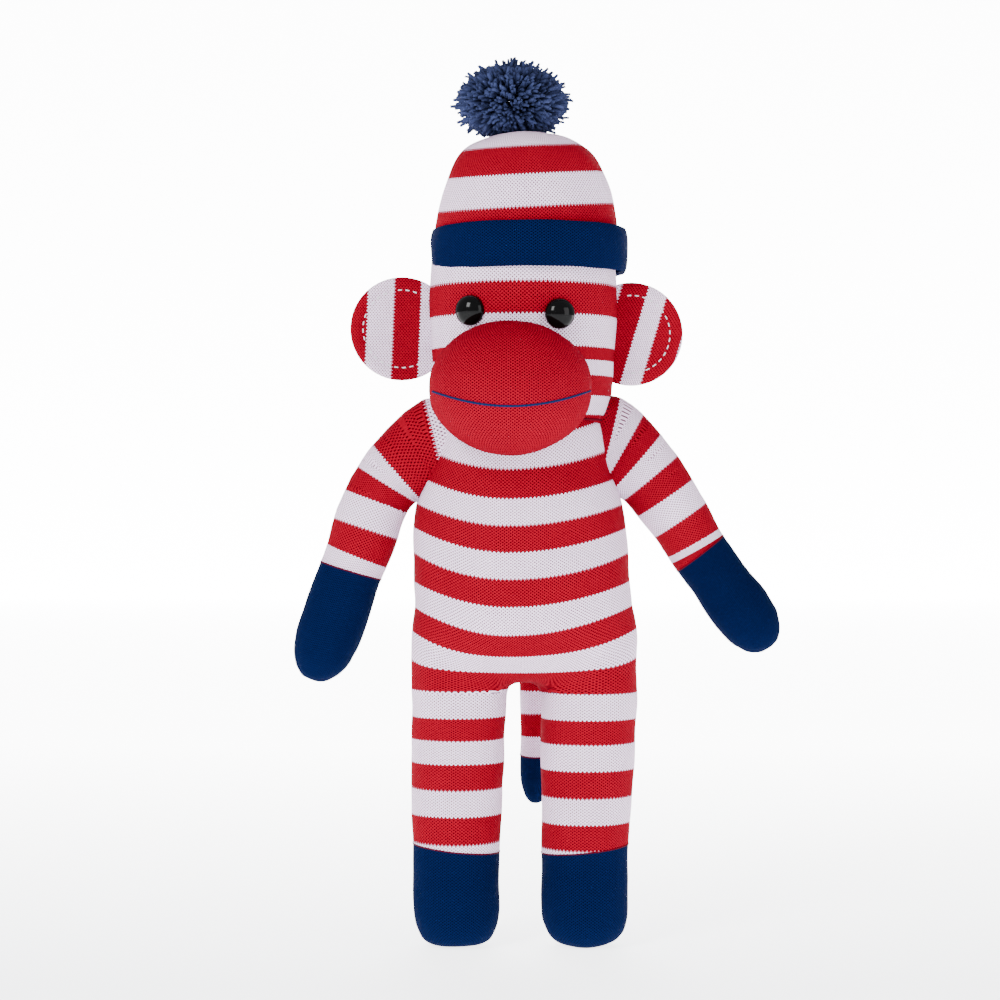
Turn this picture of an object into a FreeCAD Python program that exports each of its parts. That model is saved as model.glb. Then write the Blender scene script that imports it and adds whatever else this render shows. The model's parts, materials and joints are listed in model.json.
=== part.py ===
"""Standing stuffed monkey, sewn from striped knit tubes and filled with fibre.

The toy faces -Y and stands on Z = 0.  "Right" and "left" are the toy's own, so
the right limbs are on the -X side.  Every padded part is a knit skin around a
stuffing core; limbs hang from small ball shaped roots so that they can swing.
"""
import FreeCAD, Part
import Sketcher
import os
import re

os.makedirs("parts", exist_ok=True)

doc = FreeCAD.newDocument("StuffedMonkey")
sheet = doc.addObject("Spreadsheet::Sheet", "Params")

SIZES = [
    ("axis_x", -6.2, "middle of the body, measured from the middle of the whole toy"),
    ("axis_y", 5.8, "middle of the body, measured from the middle of the whole toy"),
    ("wall", 1.2, "knit skin thickness"),
    ("gap", 0.7, "running clearance round a ball shaped root"),
    # torso
    ("hip_z", 140, "height of the hip joints"),
    ("torso_height", 124, "hip joints to the collar"),
    ("torso_base_half_width", 52, ""),
    ("torso_seat_half_width", 55, ""),
    ("torso_belly_half_width", 53.5, ""),
    ("torso_chest_half_width", 49.5, ""),
    ("torso_collar_half_width", 43.5, ""),
    ("torso_belly_half_depth", 43, ""),
    ("torso_collar_flattening", 2.5, "collar half width less its half depth"),
    ("torso_chest_flattening", 4.235, "chest half width less its half depth"),
    # neck and head
    ("neck_rise", 13, "collar to the centre of the neck ball"),
    ("neck_ball", 43.5, "radius of the round underside of the head"),
    ("neck_room", 2.8, "room round the neck ball in the hollow of the shoulders"),
    ("neck_thread_drop", 15, "gathering thread below the centre of the neck ball"),
    ("thread", 0.8, "radius of a sewing thread laid in a seam"),
    ("head_height", 124, "centre of the neck ball to the crown"),
    ("head_half_width", 46.5, "at the eyes"),
    ("head_flattening", 1, "head half width less its half depth"),
    ("muzzle_x", -7, "muzzle centre, off the middle of the head"),
    ("muzzle_out", 45, "muzzle centre in front of the neck"),
    ("muzzle_rise", 1.2, "muzzle centre above the neck ball"),
    ("muzzle_half_width", 40, ""),
    ("muzzle_half_depth", 38, ""),
    ("muzzle_half_height", 32, ""),
    ("chin_drop", 13, "height below the neck ball where the muzzle leaves the head"),
    ("chin_room", 1.3, "room between the neck ball and the overhanging lower lip"),
    ("mouth_drop", 11.7, "mouth line below the muzzle centre"),
    ("mouth_radius", 85, "radius of the smile"),
    ("right_eye_x", -26, ""),
    ("right_eye_rise", 37.4, ""),
    ("left_eye_x", 16.5, ""),
    ("left_eye_rise", 35.5, ""),
    ("eye_radius", 7.5, "15 mm safety eye"),
    ("eye_height", 5, "dome height"),
    ("eye_stem", 2, "stem radius"),
    ("eye_stem_length", 12, ""),
    ("washer_radius", 7, ""),
    ("washer_depth", 2.7, "washer face below the foot of the eye"),
    ("washer_thickness", 1.4, ""),
    # ears
    ("ear_radius", 26, ""),
    ("ear_layer", 2, "thickness of one ear panel"),
    ("ear_stitch_inset", 6, "topstitch line in from the ear edge"),
    ("ear_stitch_width", 1.2, ""),
    ("right_ear_reach", 14.5, "centre of the ear outline beyond the side of the head"),
    ("right_ear_rise", 31, ""),
    ("left_ear_reach", 7, ""),
    ("left_ear_rise", 28.3, ""),
    ("ear_root_gap", 2.8, "fold line of the ear beyond the side of the head"),
    # hat
    ("hat_gap", 0.5, "room between head and hat"),
    ("hat_wall", 2, ""),
    ("cuff_wall", 2.3, "turned-up cuff, two layers"),
    ("hat_brim", 57.5, "cuff edge above the neck ball"),
    ("cuff_height", 22, ""),
    ("pompom_x", -6, ""),
    ("pompom_radius", 28.5, ""),
    ("pompom_half_height", 18.1, ""),
    ("pompom_lift", 1.5, "pompom above the top of the hat"),
    ("pompom_foot", 3, "radius of the pinched underside of the pompom"),
    ("pompom_slope", 24, "degrees that the underside rises, so that the pompom can lean"),
    ("tie_radius", 2.2, ""),
    ("tie_length", 9, ""),
    # arms
    ("arm_root_gap", 0.965, "between the chest and the arm's root ball"),
    ("arm_root_ball", 14, ""),
    ("arm_thread_inset", 2, "sewn ring short of the inner end of the root ball"),
    ("arm_thread_radius", 9.4, ""),
    ("right_arm_drop", 23.5, "root ball centre below the collar"),
    ("right_arm_upper_lean", 40, "degrees outwards"),
    ("right_arm_upper", 16, "length of the leaning upper part"),
    ("right_arm_lower_lean", 20, "degrees outwards"),
    ("right_arm_lower", 103, ""),
    ("right_hand", 59, "length of the dark end"),
    ("left_arm_drop", 27, ""),
    ("left_arm_upper_lean", 36, "degrees outwards"),
    ("left_arm_upper", 16, ""),
    ("left_arm_lower_lean", 35, "degrees outwards"),
    ("left_arm_lower", 93, ""),
    ("left_hand", 56, ""),
    ("arm_radius", 18.2, "upper arm"),
    ("wrist_radius", 16.8, ""),
    ("hand_radius", 17.4, ""),
    # legs
    ("hip_out", 32.7, "hip joint off the middle"),
    ("leg_radius", 23.6, ""),
    ("foot_radius", 22.3, ""),
    ("sole_radius", 17, ""),
    ("foot_height", 49, "height of the dark end"),
    ("foot_slant", 6, "degrees, the border is lower on the outside"),
    ("leg_back_swing", 18, "degrees that the seat is hollowed for"),
    # tail
    ("tail_x", 5, ""),
    ("tail_root_z", 166, ""),
    ("tail_root_out", 52.2, "centre of the tail's root ball behind the body"),
    ("tail_root_ball", 8.4, ""),
    ("tail_radius", 8.5, ""),
    ("tail_lean", 7, "degrees backwards"),
    ("tail_length", 104.5, ""),
    ("tail_tip", 27, "length of the dark end"),
    ("tail_thread_inset", 0.25, "sewn ring short of the inner end of the root ball"),
    ("tail_thread_radius", 6.3, ""),
]

for row, (name, value, note) in enumerate(SIZES, start=1):
    sheet.set("A%d" % row, name)
    sheet.set("B%d" % row, str(value))
    sheet.set("C%d" % row, note)
    sheet.setAlias("B%d" % row, name)
doc.recompute()


NAMES = {name for name, value, note in SIZES}


def p(text):
    """Turn bare size names in an expression into spreadsheet references."""
    return re.sub(r"[a-z_]+", lambda m: "Params." + m[0] if m[0] in NAMES else m[0], text)


NECK_Z = "( hip_z + torso_height + neck_rise )"
NECK_CUP = "( neck_ball + neck_room )"
CHEST = "torso_chest_half_width * 0.93"
HEAD_DEEP = "( head_half_width - head_flattening )"
EAR_ROOT = "( head_half_width + ear_root_gap )"
ARM_ROOT = "( max( %s; torso_collar_half_width ) + arm_root_gap + arm_root_ball )" % CHEST


def place(obj, x="0", y="0", z="0", yaw="0", pitch="0", roll="0"):
    """Bind the placement of an object; x and y are measured from the body's middle."""
    spot = "vector(%s; %s; %s)" % (p("axis_x + " + x), p("axis_y + " + y), p(z))
    turn = "rotation(%s; %s; %s)" % (p(yaw), p(pitch), p(roll))
    obj.setExpression("Placement", "placement(%s; %s)" % (spot, turn))
    return obj


def made(kind, name, **sizes):
    """A Part primitive with each size bound to an expression."""
    obj = doc.addObject("Part::" + kind, name)
    for key, text in sizes.items():
        obj.setExpression(key, p(text))
    return obj


def cut(name, base, *tools):
    """Base less each of the tools."""
    for number, tool in enumerate(tools, start=1):
        last = number == len(tools)
        obj = doc.addObject("Part::Cut", name if last else "%s_less_%d" % (name, number))
        obj.Base = base
        obj.Tool = tool
        base = obj
    return base


def fuse(name, first, second):
    obj = doc.addObject("Part::Fuse", name)
    obj.Base = first
    obj.Tool = second
    return obj


def common(name, first, second):
    obj = doc.addObject("Part::Common", name)
    obj.Base = first
    obj.Tool = second
    return obj


def loft(name, stations):
    """A closed solid through round sections.

    Each station is (half width, half depth, x, y, z, pitch, roll).
    """
    rings = []
    for number, (wide, deep, x, y, z, pitch, roll) in enumerate(stations):
        ring = made("Ellipse", "%s_ring_%d" % (name, number), MajorRadius=wide, MinorRadius=deep)
        place(ring, x, y, z, pitch=pitch, roll=roll)
        rings.append(ring)
    solid = doc.addObject("Part::Loft", name)
    solid.Sections = rings
    solid.Solid = True
    solid.Ruled = False
    return solid


NODES = {}


def node(name, obj):
    """Give a finished solid its node name."""
    obj.Label = name
    NODES[name] = obj
    return obj


# ---------------------------------------------------------------- torso
def torso_form(name, inset, socket):
    """The torso with its hollows for the head and the legs."""
    collar_deep = "torso_collar_half_width - torso_collar_flattening"
    half = [
        ("torso_base_half_width", "torso_belly_half_depth - 6", "0"),
        ("torso_seat_half_width", "torso_belly_half_depth - 1", "0.1"),
        ("torso_belly_half_width", "torso_belly_half_depth", "0.34"),
        ("torso_belly_half_width * 0.98", "torso_belly_half_depth", "0.58"),
        (CHEST, CHEST + " - torso_chest_flattening", "0.77"),
        ("torso_collar_half_width", collar_deep, "0.92"),
        ("torso_collar_half_width", collar_deep, "1"),
    ]
    stations = []
    for number, (wide, deep, part) in enumerate(half):
        end = "%s" % inset if number == 0 else "0"
        height = "hip_z + torso_height * %s + %s" % (part, end)
        stations.append((wide + " - " + inset, deep + " - " + inset, "0", "0", height, "0", "0"))
    form = loft(name + "_loft", stations)
    tools = [place(made("Sphere", name + "_cup", Radius=NECK_CUP + " + " + inset), z=NECK_Z)]
    for side, sign in (("right", "-1"), ("left", "1")):
        x = "hip_out * " + sign
        ball = made("Sphere", "%s_%s_hip" % (name, side), Radius=socket)
        tools.append(place(ball, x, "0", "hip_z"))
        front = made("Cylinder", "%s_%s_lap" % (name, side), Radius=socket, Height="90")
        tools.append(place(front, x, "0", "hip_z", roll="90"))
        back = made("Cylinder", "%s_%s_seat" % (name, side), Radius=socket, Height="60")
        tools.append(place(back, x, "0", "hip_z", roll="180 + leg_back_swing"))
    return cut(name, form, *tools)


torso_outside = torso_form("torso_outside", "0", "( leg_radius + gap )")
torso_core = torso_form("torso_core", "wall", "( leg_radius + gap + wall )")
node("torso_stuffing", torso_core)
node("torso_skin", cut("torso_shell", torso_outside, torso_core))

# ---------------------------------------------------------------- neck
neck_ring = made(
    "Torus",
    "neck_ring",
    Radius1="sqrt( ( neck_ball + neck_room / 2 ) ^ 2 - neck_thread_drop ^ 2 )",
    Radius2="thread + 0.1",
)
node("neck_gather_thread", place(neck_ring, z=NECK_Z + " - neck_thread_drop"))


# ---------------------------------------------------------------- head
SKULL = [
    ("head_half_width * 0.953", HEAD_DEEP + " * 0.957", "0.1"),
    ("head_half_width * 0.972", HEAD_DEEP + " * 0.975", "0.19"),
    ("head_half_width", HEAD_DEEP, "0.36"),
    ("head_half_width * 0.976", HEAD_DEEP + " * 0.98", "0.5"),
    ("head_half_width * 0.92", HEAD_DEEP + " * 0.92", "0.66"),
    ("head_half_width * 0.865", HEAD_DEEP + " * 0.86", "0.78"),
    ("head_half_width * 0.72", HEAD_DEEP + " * 0.715", "0.89"),
    ("head_half_width * 0.5", HEAD_DEEP + " * 0.5", "0.965"),
    ("head_half_width * 0.24", HEAD_DEEP + " * 0.24", "1"),
]


def skull(name, grow):
    """The head above the neck ball, grown on every side."""
    stations = [("neck_ball + " + grow, "neck_ball + " + grow, "0", "0", NECK_Z, "0", "0")]
    for number, (wide, deep, part) in enumerate(SKULL, start=1):
        end = grow if number == len(SKULL) else "0"
        height = "%s + head_height * %s + %s" % (NECK_Z, part, end)
        stations.append((wide + " + " + grow, deep + " + " + grow, "0", "0", height, "0", "0"))
    return loft(name, stations)


def head_form(name, grow):
    top = skull(name + "_skull", grow)
    ball = made("Sphere", name + "_ball", Radius="neck_ball + " + grow, Angle1="-90", Angle2="0")
    return fuse(name, top, place(ball, z=NECK_Z))


head_outside = head_form("head_outside", "0")
head_inside = head_form("head_inside", "( -1 * wall )")


def eye_parts(side):
    """A domed eye with its stem, the locking washer and the hollows they need."""
    x = side + "_eye_x"
    rise = NECK_Z + " + " + side + "_eye_rise"
    turn = "asin( %s / head_half_width )" % x
    out = "( " + HEAD_DEEP + " + 0.3 )"
    y = "-1 * %s * sqrt( 1 - ( %s / head_half_width ) ^ 2 )" % (out, x)
    shift = "( head_half_width + 0.3 ) / head_half_width * " + x

    body = doc.addObject("PartDesign::Body", side + "_eye_body")
    dome = body.newObject("PartDesign::AdditiveEllipsoid", side + "_eye_dome")
    dome.setExpression("Radius1", p("eye_height"))
    dome.setExpression("Radius2", p("eye_radius"))
    dome.setExpression("Radius3", p("eye_radius"))
    dome.Angle1 = 0
    dome.Angle2 = 90
    stem = body.newObject("PartDesign::AdditiveCylinder", side + "_eye_stem_post")
    stem.setExpression("Radius", p("eye_stem"))
    stem.setExpression("Height", p("eye_stem_length"))
    stem.setExpression("AttachmentOffset.Base.z", p("-1 * eye_stem_length"))
    stem.AttachmentSupport = [(body.Origin.OriginFeatures[3], "")]
    stem.MapMode = "FlatFace"
    place(body, shift, y, rise, yaw=turn, roll="90")

    washer = doc.addObject("PartDesign::Body", side + "_washer_body")
    outline = washer.newObject("Sketcher::SketchObject", side + "_washer_outline")
    outline.AttachmentSupport = [(washer.Origin.OriginFeatures[3], "")]
    outline.MapMode = "FlatFace"
    middle = FreeCAD.Vector(0, 0, 0)
    up = FreeCAD.Vector(0, 0, 1)
    for key, value, text in (
        ("rim", 7, "washer_radius"),
        ("hole", 2.1, "eye_stem + 0.05"),
    ):
        edge = outline.addGeometry(Part.Circle(middle, up, value))
        outline.addConstraint(Sketcher.Constraint("Coincident", edge, 3, -1, 1))
        size = outline.addConstraint(Sketcher.Constraint("Radius", edge, value))
        outline.renameConstraint(size, key)
        outline.setExpression("Constraints." + key, p(text))
    disc = washer.newObject("PartDesign::Pad", side + "_washer_disc")
    disc.Profile = outline
    disc.setExpression("Length", p("washer_thickness"))
    inward_x = shift + " - sin( %s ) * ( washer_depth + washer_thickness )" % turn
    inward_y = y + " + cos( %s ) * ( washer_depth + washer_thickness )" % turn
    place(washer, inward_x, inward_y, rise, yaw=turn, roll="90")

    pocket = made(
        "Cylinder", side + "_washer_room", Radius="washer_radius", Height="washer_thickness"
    )
    place(pocket, inward_x, inward_y, rise, yaw=turn, roll="90")
    bore = made("Cylinder", side + "_stem_room", Radius="eye_stem", Height="eye_stem_length + 4")
    deep_x = shift + " - sin( %s ) * eye_stem_length" % turn
    deep_y = y + " + cos( %s ) * eye_stem_length" % turn
    place(bore, deep_x, deep_y, rise, yaw=turn, roll="90")
    node(side + "_eye", body)
    node(side + "_eye_washer", washer)
    return pocket, bore


right_pocket, right_bore = eye_parts("right")
left_pocket, left_bore = eye_parts("left")
head_core = cut("head_core", head_inside, right_pocket, right_bore, left_pocket, left_bore)
node("head_stuffing", head_core)
head_shell = cut("head_shell", head_outside, head_inside, right_bore, left_bore)
node("head_skin", head_shell)


# ---------------------------------------------------------------- muzzle
def muzzle_egg(name, grow):
    egg = made(
        "Ellipsoid",
        name,
        Radius1="muzzle_half_height + " + grow,
        Radius2="muzzle_half_width + " + grow,
        Radius3="muzzle_half_depth + " + grow,
    )
    return place(egg, "muzzle_x", "-1 * muzzle_out", NECK_Z + " + muzzle_rise")


def muzzle_form(name, grow):
    """The muzzle in front of the face, hollowed behind the lower lip."""
    under = made("Cylinder", name + "_chin", Radius="neck_ball + chin_room - " + grow, Height="60")
    place(under, z=NECK_Z + " - chin_drop - 60 - " + grow)
    return cut(name, muzzle_egg(name + "_egg", grow), head_outside, under)


muzzle_outside = muzzle_form("muzzle_outside", "0")
muzzle_core = muzzle_form("muzzle_core", "( -1 * wall )")
node("muzzle_stuffing", muzzle_core)
node("muzzle_skin", cut("muzzle_shell", muzzle_outside, muzzle_core))

smile_outer = made("Cylinder", "smile_outer", Radius="mouth_radius + thread / 2", Height="90")
smile_inner = made("Cylinder", "smile_inner", Radius="mouth_radius - thread / 2", Height="90")
smile_z = NECK_Z + " + muzzle_rise - mouth_drop + mouth_radius"
for tool in (smile_outer, smile_inner):
    place(tool, "muzzle_x", "-1 * muzzle_out + 18", smile_z, roll="90")
smile = cut("smile", smile_outer, smile_inner)
lower = made("Box", "smile_below", Length="90", Width="90", Height="14")
place(lower, "muzzle_x - 45", "-1 * muzzle_out - 72", NECK_Z + " + muzzle_rise - mouth_drop - 1")
smile_arc = common("smile_arc", smile, lower)
lip_band = cut("lip_band", muzzle_egg("lip_outer", "0.5"), muzzle_egg("lip_inner", "0"))
smile_band = common("smile_band", lip_band, smile_arc)
node("mouth_thread", cut("mouth_line", smile_band, head_outside))


# ---------------------------------------------------------------- ears
def ear_part(side, name, near, thick, radius, bore=None):
    """One flat round layer of an ear, cut off along the fold line."""
    body = doc.addObject("PartDesign::Body", name + "_body")
    outline = body.newObject("Sketcher::SketchObject", name + "_outline")
    outline.AttachmentSupport = [(body.Origin.OriginFeatures[3], "")]
    outline.MapMode = "FlatFace"
    rings = [("edge", 26, radius)]
    if bore:
        rings.append(("inner", 19, bore))
    for key, value, text in rings:
        edge = outline.addGeometry(
            Part.Circle(FreeCAD.Vector(0, 0, 0), FreeCAD.Vector(0, 0, 1), value)
        )
        outline.addConstraint(Sketcher.Constraint("Coincident", edge, 3, -1, 1))
        size = outline.addConstraint(Sketcher.Constraint("Radius", edge, value))
        outline.renameConstraint(size, key)
        outline.setExpression("Constraints." + key, p(text))
    sheet_pad = body.newObject("PartDesign::Pad", name + "_layer")
    sheet_pad.Profile = outline
    sheet_pad.setExpression("Length", p(thick))
    sign = "-1" if side == "right" else "1"
    height = NECK_Z + " + " + side + "_ear_rise"
    out = "%s * ( head_half_width + %s_ear_reach )" % (sign, side)
    place(body, out, near, height, roll="90")
    inner = made("Box", name + "_inner_side", Length="60", Width="20", Height="90")
    start = "-1 * " + EAR_ROOT if side == "right" else EAR_ROOT + " - 60"
    place(inner, start, "-10", height + " - 45")
    return node(name, cut(name + "_cut", body, inner))


for ear_side in ("right", "left"):
    ear_part(ear_side, ear_side + "_ear_front_panel", "0", "ear_layer", "ear_radius")
    ear_part(ear_side, ear_side + "_ear_back_panel", "ear_layer", "ear_layer", "ear_radius")
    ear_part(
        ear_side,
        ear_side + "_ear_topstitch",
        "-1 * ear_layer",
        "0.4",
        "ear_radius - ear_stitch_inset",
        "ear_radius - ear_stitch_inset - ear_stitch_width",
    )
    ear_seam = made("Cylinder", ear_side + "_ear_seam", Radius="thread", Height="ear_radius * 1.5")
    ear_sign = "-1" if ear_side == "right" else "1"
    place(
        ear_seam,
        ear_sign + " * ( head_half_width + thread + 0.1 )",
        "thread * 0.5",
        NECK_Z + " + " + ear_side + "_ear_rise - ear_radius * 0.75",
    )
    node(ear_side + "_ear_seam_thread", ear_seam)


# ---------------------------------------------------------------- hat
def band(name, low, high):
    """A wide slab between two heights above the neck ball."""
    slab = made("Box", name, Length="140", Width="140", Height="%s - %s" % (high, low))
    return place(slab, "-70", "-70", NECK_Z + " + " + low)


crown_outer = skull("crown_outer", "( hat_gap + hat_wall )")
crown_inner = skull("crown_inner", "hat_gap")
crown_shell = cut("crown_shell", crown_outer, crown_inner)
crown_slab = band("crown_slab", "hat_brim", "( hat_brim + 100 )")
node("hat_crown", common("crown", crown_shell, crown_slab))

cuff_outer = skull("cuff_outer", "( hat_gap + hat_wall + 0.1 + cuff_wall )")
cuff_inner = skull("cuff_inner", "( hat_gap + hat_wall + 0.1 )")
cuff_shell = cut("cuff_shell", cuff_outer, cuff_inner)
cuff_slab = band("cuff_slab", "hat_brim", "( hat_brim + cuff_height )")
node("hat_cuff", common("cuff", cuff_shell, cuff_slab))

HAT_TOP = NECK_Z + " + head_height + hat_gap + hat_wall"
pompom_ball = made(
    "Ellipsoid",
    "pompom_ball",
    Radius1="pompom_half_height",
    Radius2="pompom_radius",
    Radius3="pompom_radius",
)
place(pompom_ball, "pompom_x", "0", HAT_TOP + " + pompom_lift + pompom_half_height")
funnel = made(
    "Cone",
    "pompom_funnel",
    Radius1="pompom_foot",
    Radius2="pompom_foot + pompom_half_height * 2.2 / tan( pompom_slope )",
    Height="pompom_half_height * 2.2",
)
place(funnel, "pompom_x", "0", HAT_TOP + " + pompom_lift")
pompom_body = common("pompom_pinched", pompom_ball, funnel)
tie = made("Cylinder", "tie", Radius="tie_radius", Height="tie_length")
place(tie, "pompom_x", "0", HAT_TOP + " + pompom_lift")
node("pompom_yarn", cut("pompom_cut", pompom_body, tie))
node("pompom_tie", tie)


# ---------------------------------------------------------------- arms
def arm(side):
    """A bent arm: ball root, leaning upper part, straight lower part, dark hand."""
    sign = "-1" if side == "right" else "1"
    lean_a = side + "_arm_upper_lean"
    lean_b = side + "_arm_lower_lean"
    upper = side + "_arm_upper"
    lower = side + "_arm_lower"
    hand = side + "_hand"
    root_z = "( hip_z + torso_height - %s_arm_drop )" % side
    bend_x = "%s + %s * sin( %s )" % (ARM_ROOT, upper, lean_a)
    bend_z = "%s - %s * cos( %s )" % (root_z, upper, lean_a)

    def spot(along):
        """A point on the lower part, this far past the bend."""
        x = "%s * ( %s + %s * sin( %s ) )" % (sign, bend_x, along, lean_b)
        z = "%s - %s * cos( %s )" % (bend_z, along, lean_b)
        return x, z

    def form(name, inset):
        half_x = "%s * ( %s + %s * sin( %s ) / 2 )" % (sign, ARM_ROOT, upper, lean_a)
        half_z = "%s - %s * cos( %s ) / 2" % (root_z, upper, lean_a)
        tilt_a = "-1 * %s * %s" % (sign, lean_a)
        tilt_b = "-1 * %s * %s" % (sign, lean_b)
        stations = []

        def add(radius, x, z, tilt):
            size = radius + " - " + inset
            stations.append((size, size, x, "0", z, tilt, "0"))

        add("arm_root_ball - 1.2", sign + " * " + ARM_ROOT, root_z, tilt_a)
        add("arm_radius * 0.88", half_x, half_z, tilt_a)
        for radius, along in (
            ("arm_radius", "3"),
            ("arm_radius", "( %s - %s ) * 0.5" % (lower, hand)),
            ("wrist_radius", "( %s - %s )" % (lower, hand)),
            ("hand_radius", "( %s - %s * 0.45 )" % (lower, hand)),
            ("hand_radius * 0.93", "( %s - %s * 0.2 )" % (lower, hand)),
            ("hand_radius * 0.72", "( %s - %s * 0.06 )" % (lower, hand)),
            ("hand_radius * 0.36", "( %s - %s )" % (lower, inset)),
        ):
            x, z = spot(along)
            add(radius, x, z, tilt_b)
        tube = loft(name + "_tube", stations)
        ball = made("Sphere", name + "_ball", Radius="arm_root_ball - " + inset)
        place(ball, sign + " * " + ARM_ROOT, "0", root_z)
        return fuse(name, tube, ball)

    outside = form(side + "_arm_outside", "0")
    core = form(side + "_arm_core", "wall")
    shell = cut(side + "_arm_shell", outside, core)
    border = made("Cylinder", side + "_hand_border", Radius="60", Height="120")
    x, z = spot("( %s - %s )" % (lower, hand))
    place(border, x, "0", z, pitch="180 - %s * %s" % (sign, lean_b))
    node(side + "_arm_sleeve", cut(side + "_arm_sleeve_cut", shell, border))
    node(side + "_hand_cap", common(side + "_hand_cap_common", shell, border))
    node(side + "_arm_stuffing", core)
    seam = made(
        "Torus", side + "_arm_seam", Radius1="arm_thread_radius", Radius2="thread - 0.1"
    )
    seam_x = "%s * ( %s - arm_root_ball + arm_thread_inset )" % (sign, ARM_ROOT)
    place(seam, seam_x, "0", root_z, pitch="90")
    node(side + "_shoulder_seam", seam)


arm("right")
arm("left")


# ---------------------------------------------------------------- legs
def leg(side):
    """A straight leg with a round top and a dark rounded foot with a flat sole."""
    sign = "-1" if side == "right" else "1"
    x = sign + " * hip_out"

    def form(name, inset):
        stations = []
        for radius, height in (
            ("sole_radius", inset),
            ("foot_radius * 0.93", "5"),
            ("foot_radius", "15"),
            ("foot_radius", "foot_height - 8"),
            ("leg_radius * 0.975", "foot_height + 30"),
            ("leg_radius", "hip_z - 22"),
            ("leg_radius", "hip_z"),
        ):
            size = radius + " - " + inset
            stations.append((size, size, x, "0", height, "0", "0"))
        tube = loft(name + "_tube", stations)
        top = made(
            "Sphere", name + "_ball", Radius="leg_radius - " + inset, Angle1="0", Angle2="90"
        )
        place(top, x, "0", "hip_z")
        return fuse(name, tube, top)

    outside = form(side + "_leg_outside", "0")
    core = form(side + "_leg_core", "wall")
    shell = cut(side + "_leg_shell", outside, core)
    border = made("Cylinder", side + "_foot_border", Radius="60", Height="90")
    place(border, x, "0", "foot_height", pitch="180 + %s * foot_slant" % sign)
    node(side + "_leg_sleeve", cut(side + "_leg_sleeve_cut", shell, border))
    node(side + "_foot_cap", common(side + "_foot_cap_common", shell, border))
    node(side + "_leg_stuffing", core)


leg("right")
leg("left")


# ---------------------------------------------------------------- tail
def tail_form(name, inset):
    stations = []
    for radius, along in (
        ("tail_root_ball - 0.5", "0"),
        ("tail_radius", "12"),
        ("tail_radius", "tail_length * 0.5"),
        ("tail_radius * 1.03", "tail_length - 16"),
        ("tail_radius * 0.8", "tail_length - 4"),
        ("tail_radius * 0.4", "tail_length - " + inset),
    ):
        y = "tail_root_out + ( %s ) * sin( tail_lean )" % along
        z = "tail_root_z - ( %s ) * cos( tail_lean )" % along
        size = radius + " - " + inset
        stations.append((size, size, "tail_x", y, z, "0", "tail_lean"))
    tube = loft(name + "_tube", stations)
    ball = made("Sphere", name + "_ball", Radius="tail_root_ball - " + inset)
    place(ball, "tail_x", "tail_root_out", "tail_root_z")
    return fuse(name, tube, ball)


tail_outside = tail_form("tail_outside", "0")
tail_core = tail_form("tail_core", "wall")
tail_shell = cut("tail_shell", tail_outside, tail_core)
tail_border = made("Cylinder", "tail_border", Radius="30", Height="60")
place(
    tail_border,
    "tail_x",
    "tail_root_out + ( tail_length - tail_tip ) * sin( tail_lean )",
    "tail_root_z - ( tail_length - tail_tip ) * cos( tail_lean )",
    roll="180 + tail_lean",
)
node("tail_sleeve", cut("tail_sleeve_cut", tail_shell, tail_border))
node("tail_tip_cap", common("tail_tip_common", tail_shell, tail_border))
node("tail_stuffing", tail_core)
tail_seam = made("Torus", "tail_seam", Radius1="tail_thread_radius", Radius2="thread - 0.3")
seam_y = "tail_root_out - tail_root_ball + tail_thread_inset"
place(tail_seam, "tail_x", seam_y, "tail_root_z", roll="90")
node("tail_root_seam", tail_seam)

# ---------------------------------------------------------------- export
doc.recompute()
for obj in doc.Objects:
    bad = [state for state in obj.State if state in ("Invalid", "Error")]
    if bad:
        raise RuntimeError("%s: %s" % (obj.Name, bad))
for name, obj in NODES.items():
    shape = obj.Shape
    if shape.isNull() or not shape.isValid() or not shape.Solids:
        raise RuntimeError("bad shape: " + name)
    shape.exportStep("parts/%s.step" % name)
    print("%-26s solids %d  volume %9.1f" % (name, len(shape.Solids), shape.Volume))
print(len(NODES), "nodes")
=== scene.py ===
"""Finished look of the standing stuffed monkey: knit skins, yarn, eyes and stitching.

Lengths in this file are millimetres; a position is (x, y, z) measured from the
middle of the body at floor level, and is turned into metres by at().
"""
import json
import math
import random

import bmesh
import bpy
from mathutils import Matrix, Vector, noise

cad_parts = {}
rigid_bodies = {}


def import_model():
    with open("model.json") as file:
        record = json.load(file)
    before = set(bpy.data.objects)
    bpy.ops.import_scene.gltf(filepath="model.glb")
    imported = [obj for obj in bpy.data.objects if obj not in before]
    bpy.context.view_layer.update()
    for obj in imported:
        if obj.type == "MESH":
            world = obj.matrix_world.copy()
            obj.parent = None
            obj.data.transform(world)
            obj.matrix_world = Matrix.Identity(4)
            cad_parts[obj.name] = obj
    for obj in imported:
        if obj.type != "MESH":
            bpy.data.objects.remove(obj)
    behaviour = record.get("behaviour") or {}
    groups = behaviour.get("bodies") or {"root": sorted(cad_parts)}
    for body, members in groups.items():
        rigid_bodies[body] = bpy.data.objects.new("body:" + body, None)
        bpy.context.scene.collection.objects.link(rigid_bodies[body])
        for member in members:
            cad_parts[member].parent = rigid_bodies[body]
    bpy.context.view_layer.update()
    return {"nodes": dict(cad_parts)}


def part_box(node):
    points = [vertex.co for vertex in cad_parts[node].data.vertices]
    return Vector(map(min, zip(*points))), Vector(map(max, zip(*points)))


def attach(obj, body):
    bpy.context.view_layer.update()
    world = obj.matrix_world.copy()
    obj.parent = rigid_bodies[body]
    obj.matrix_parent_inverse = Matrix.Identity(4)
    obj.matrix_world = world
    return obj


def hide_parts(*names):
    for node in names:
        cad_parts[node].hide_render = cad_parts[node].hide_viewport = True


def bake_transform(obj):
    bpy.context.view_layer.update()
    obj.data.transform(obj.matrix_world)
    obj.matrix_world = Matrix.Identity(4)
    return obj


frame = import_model()

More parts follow.
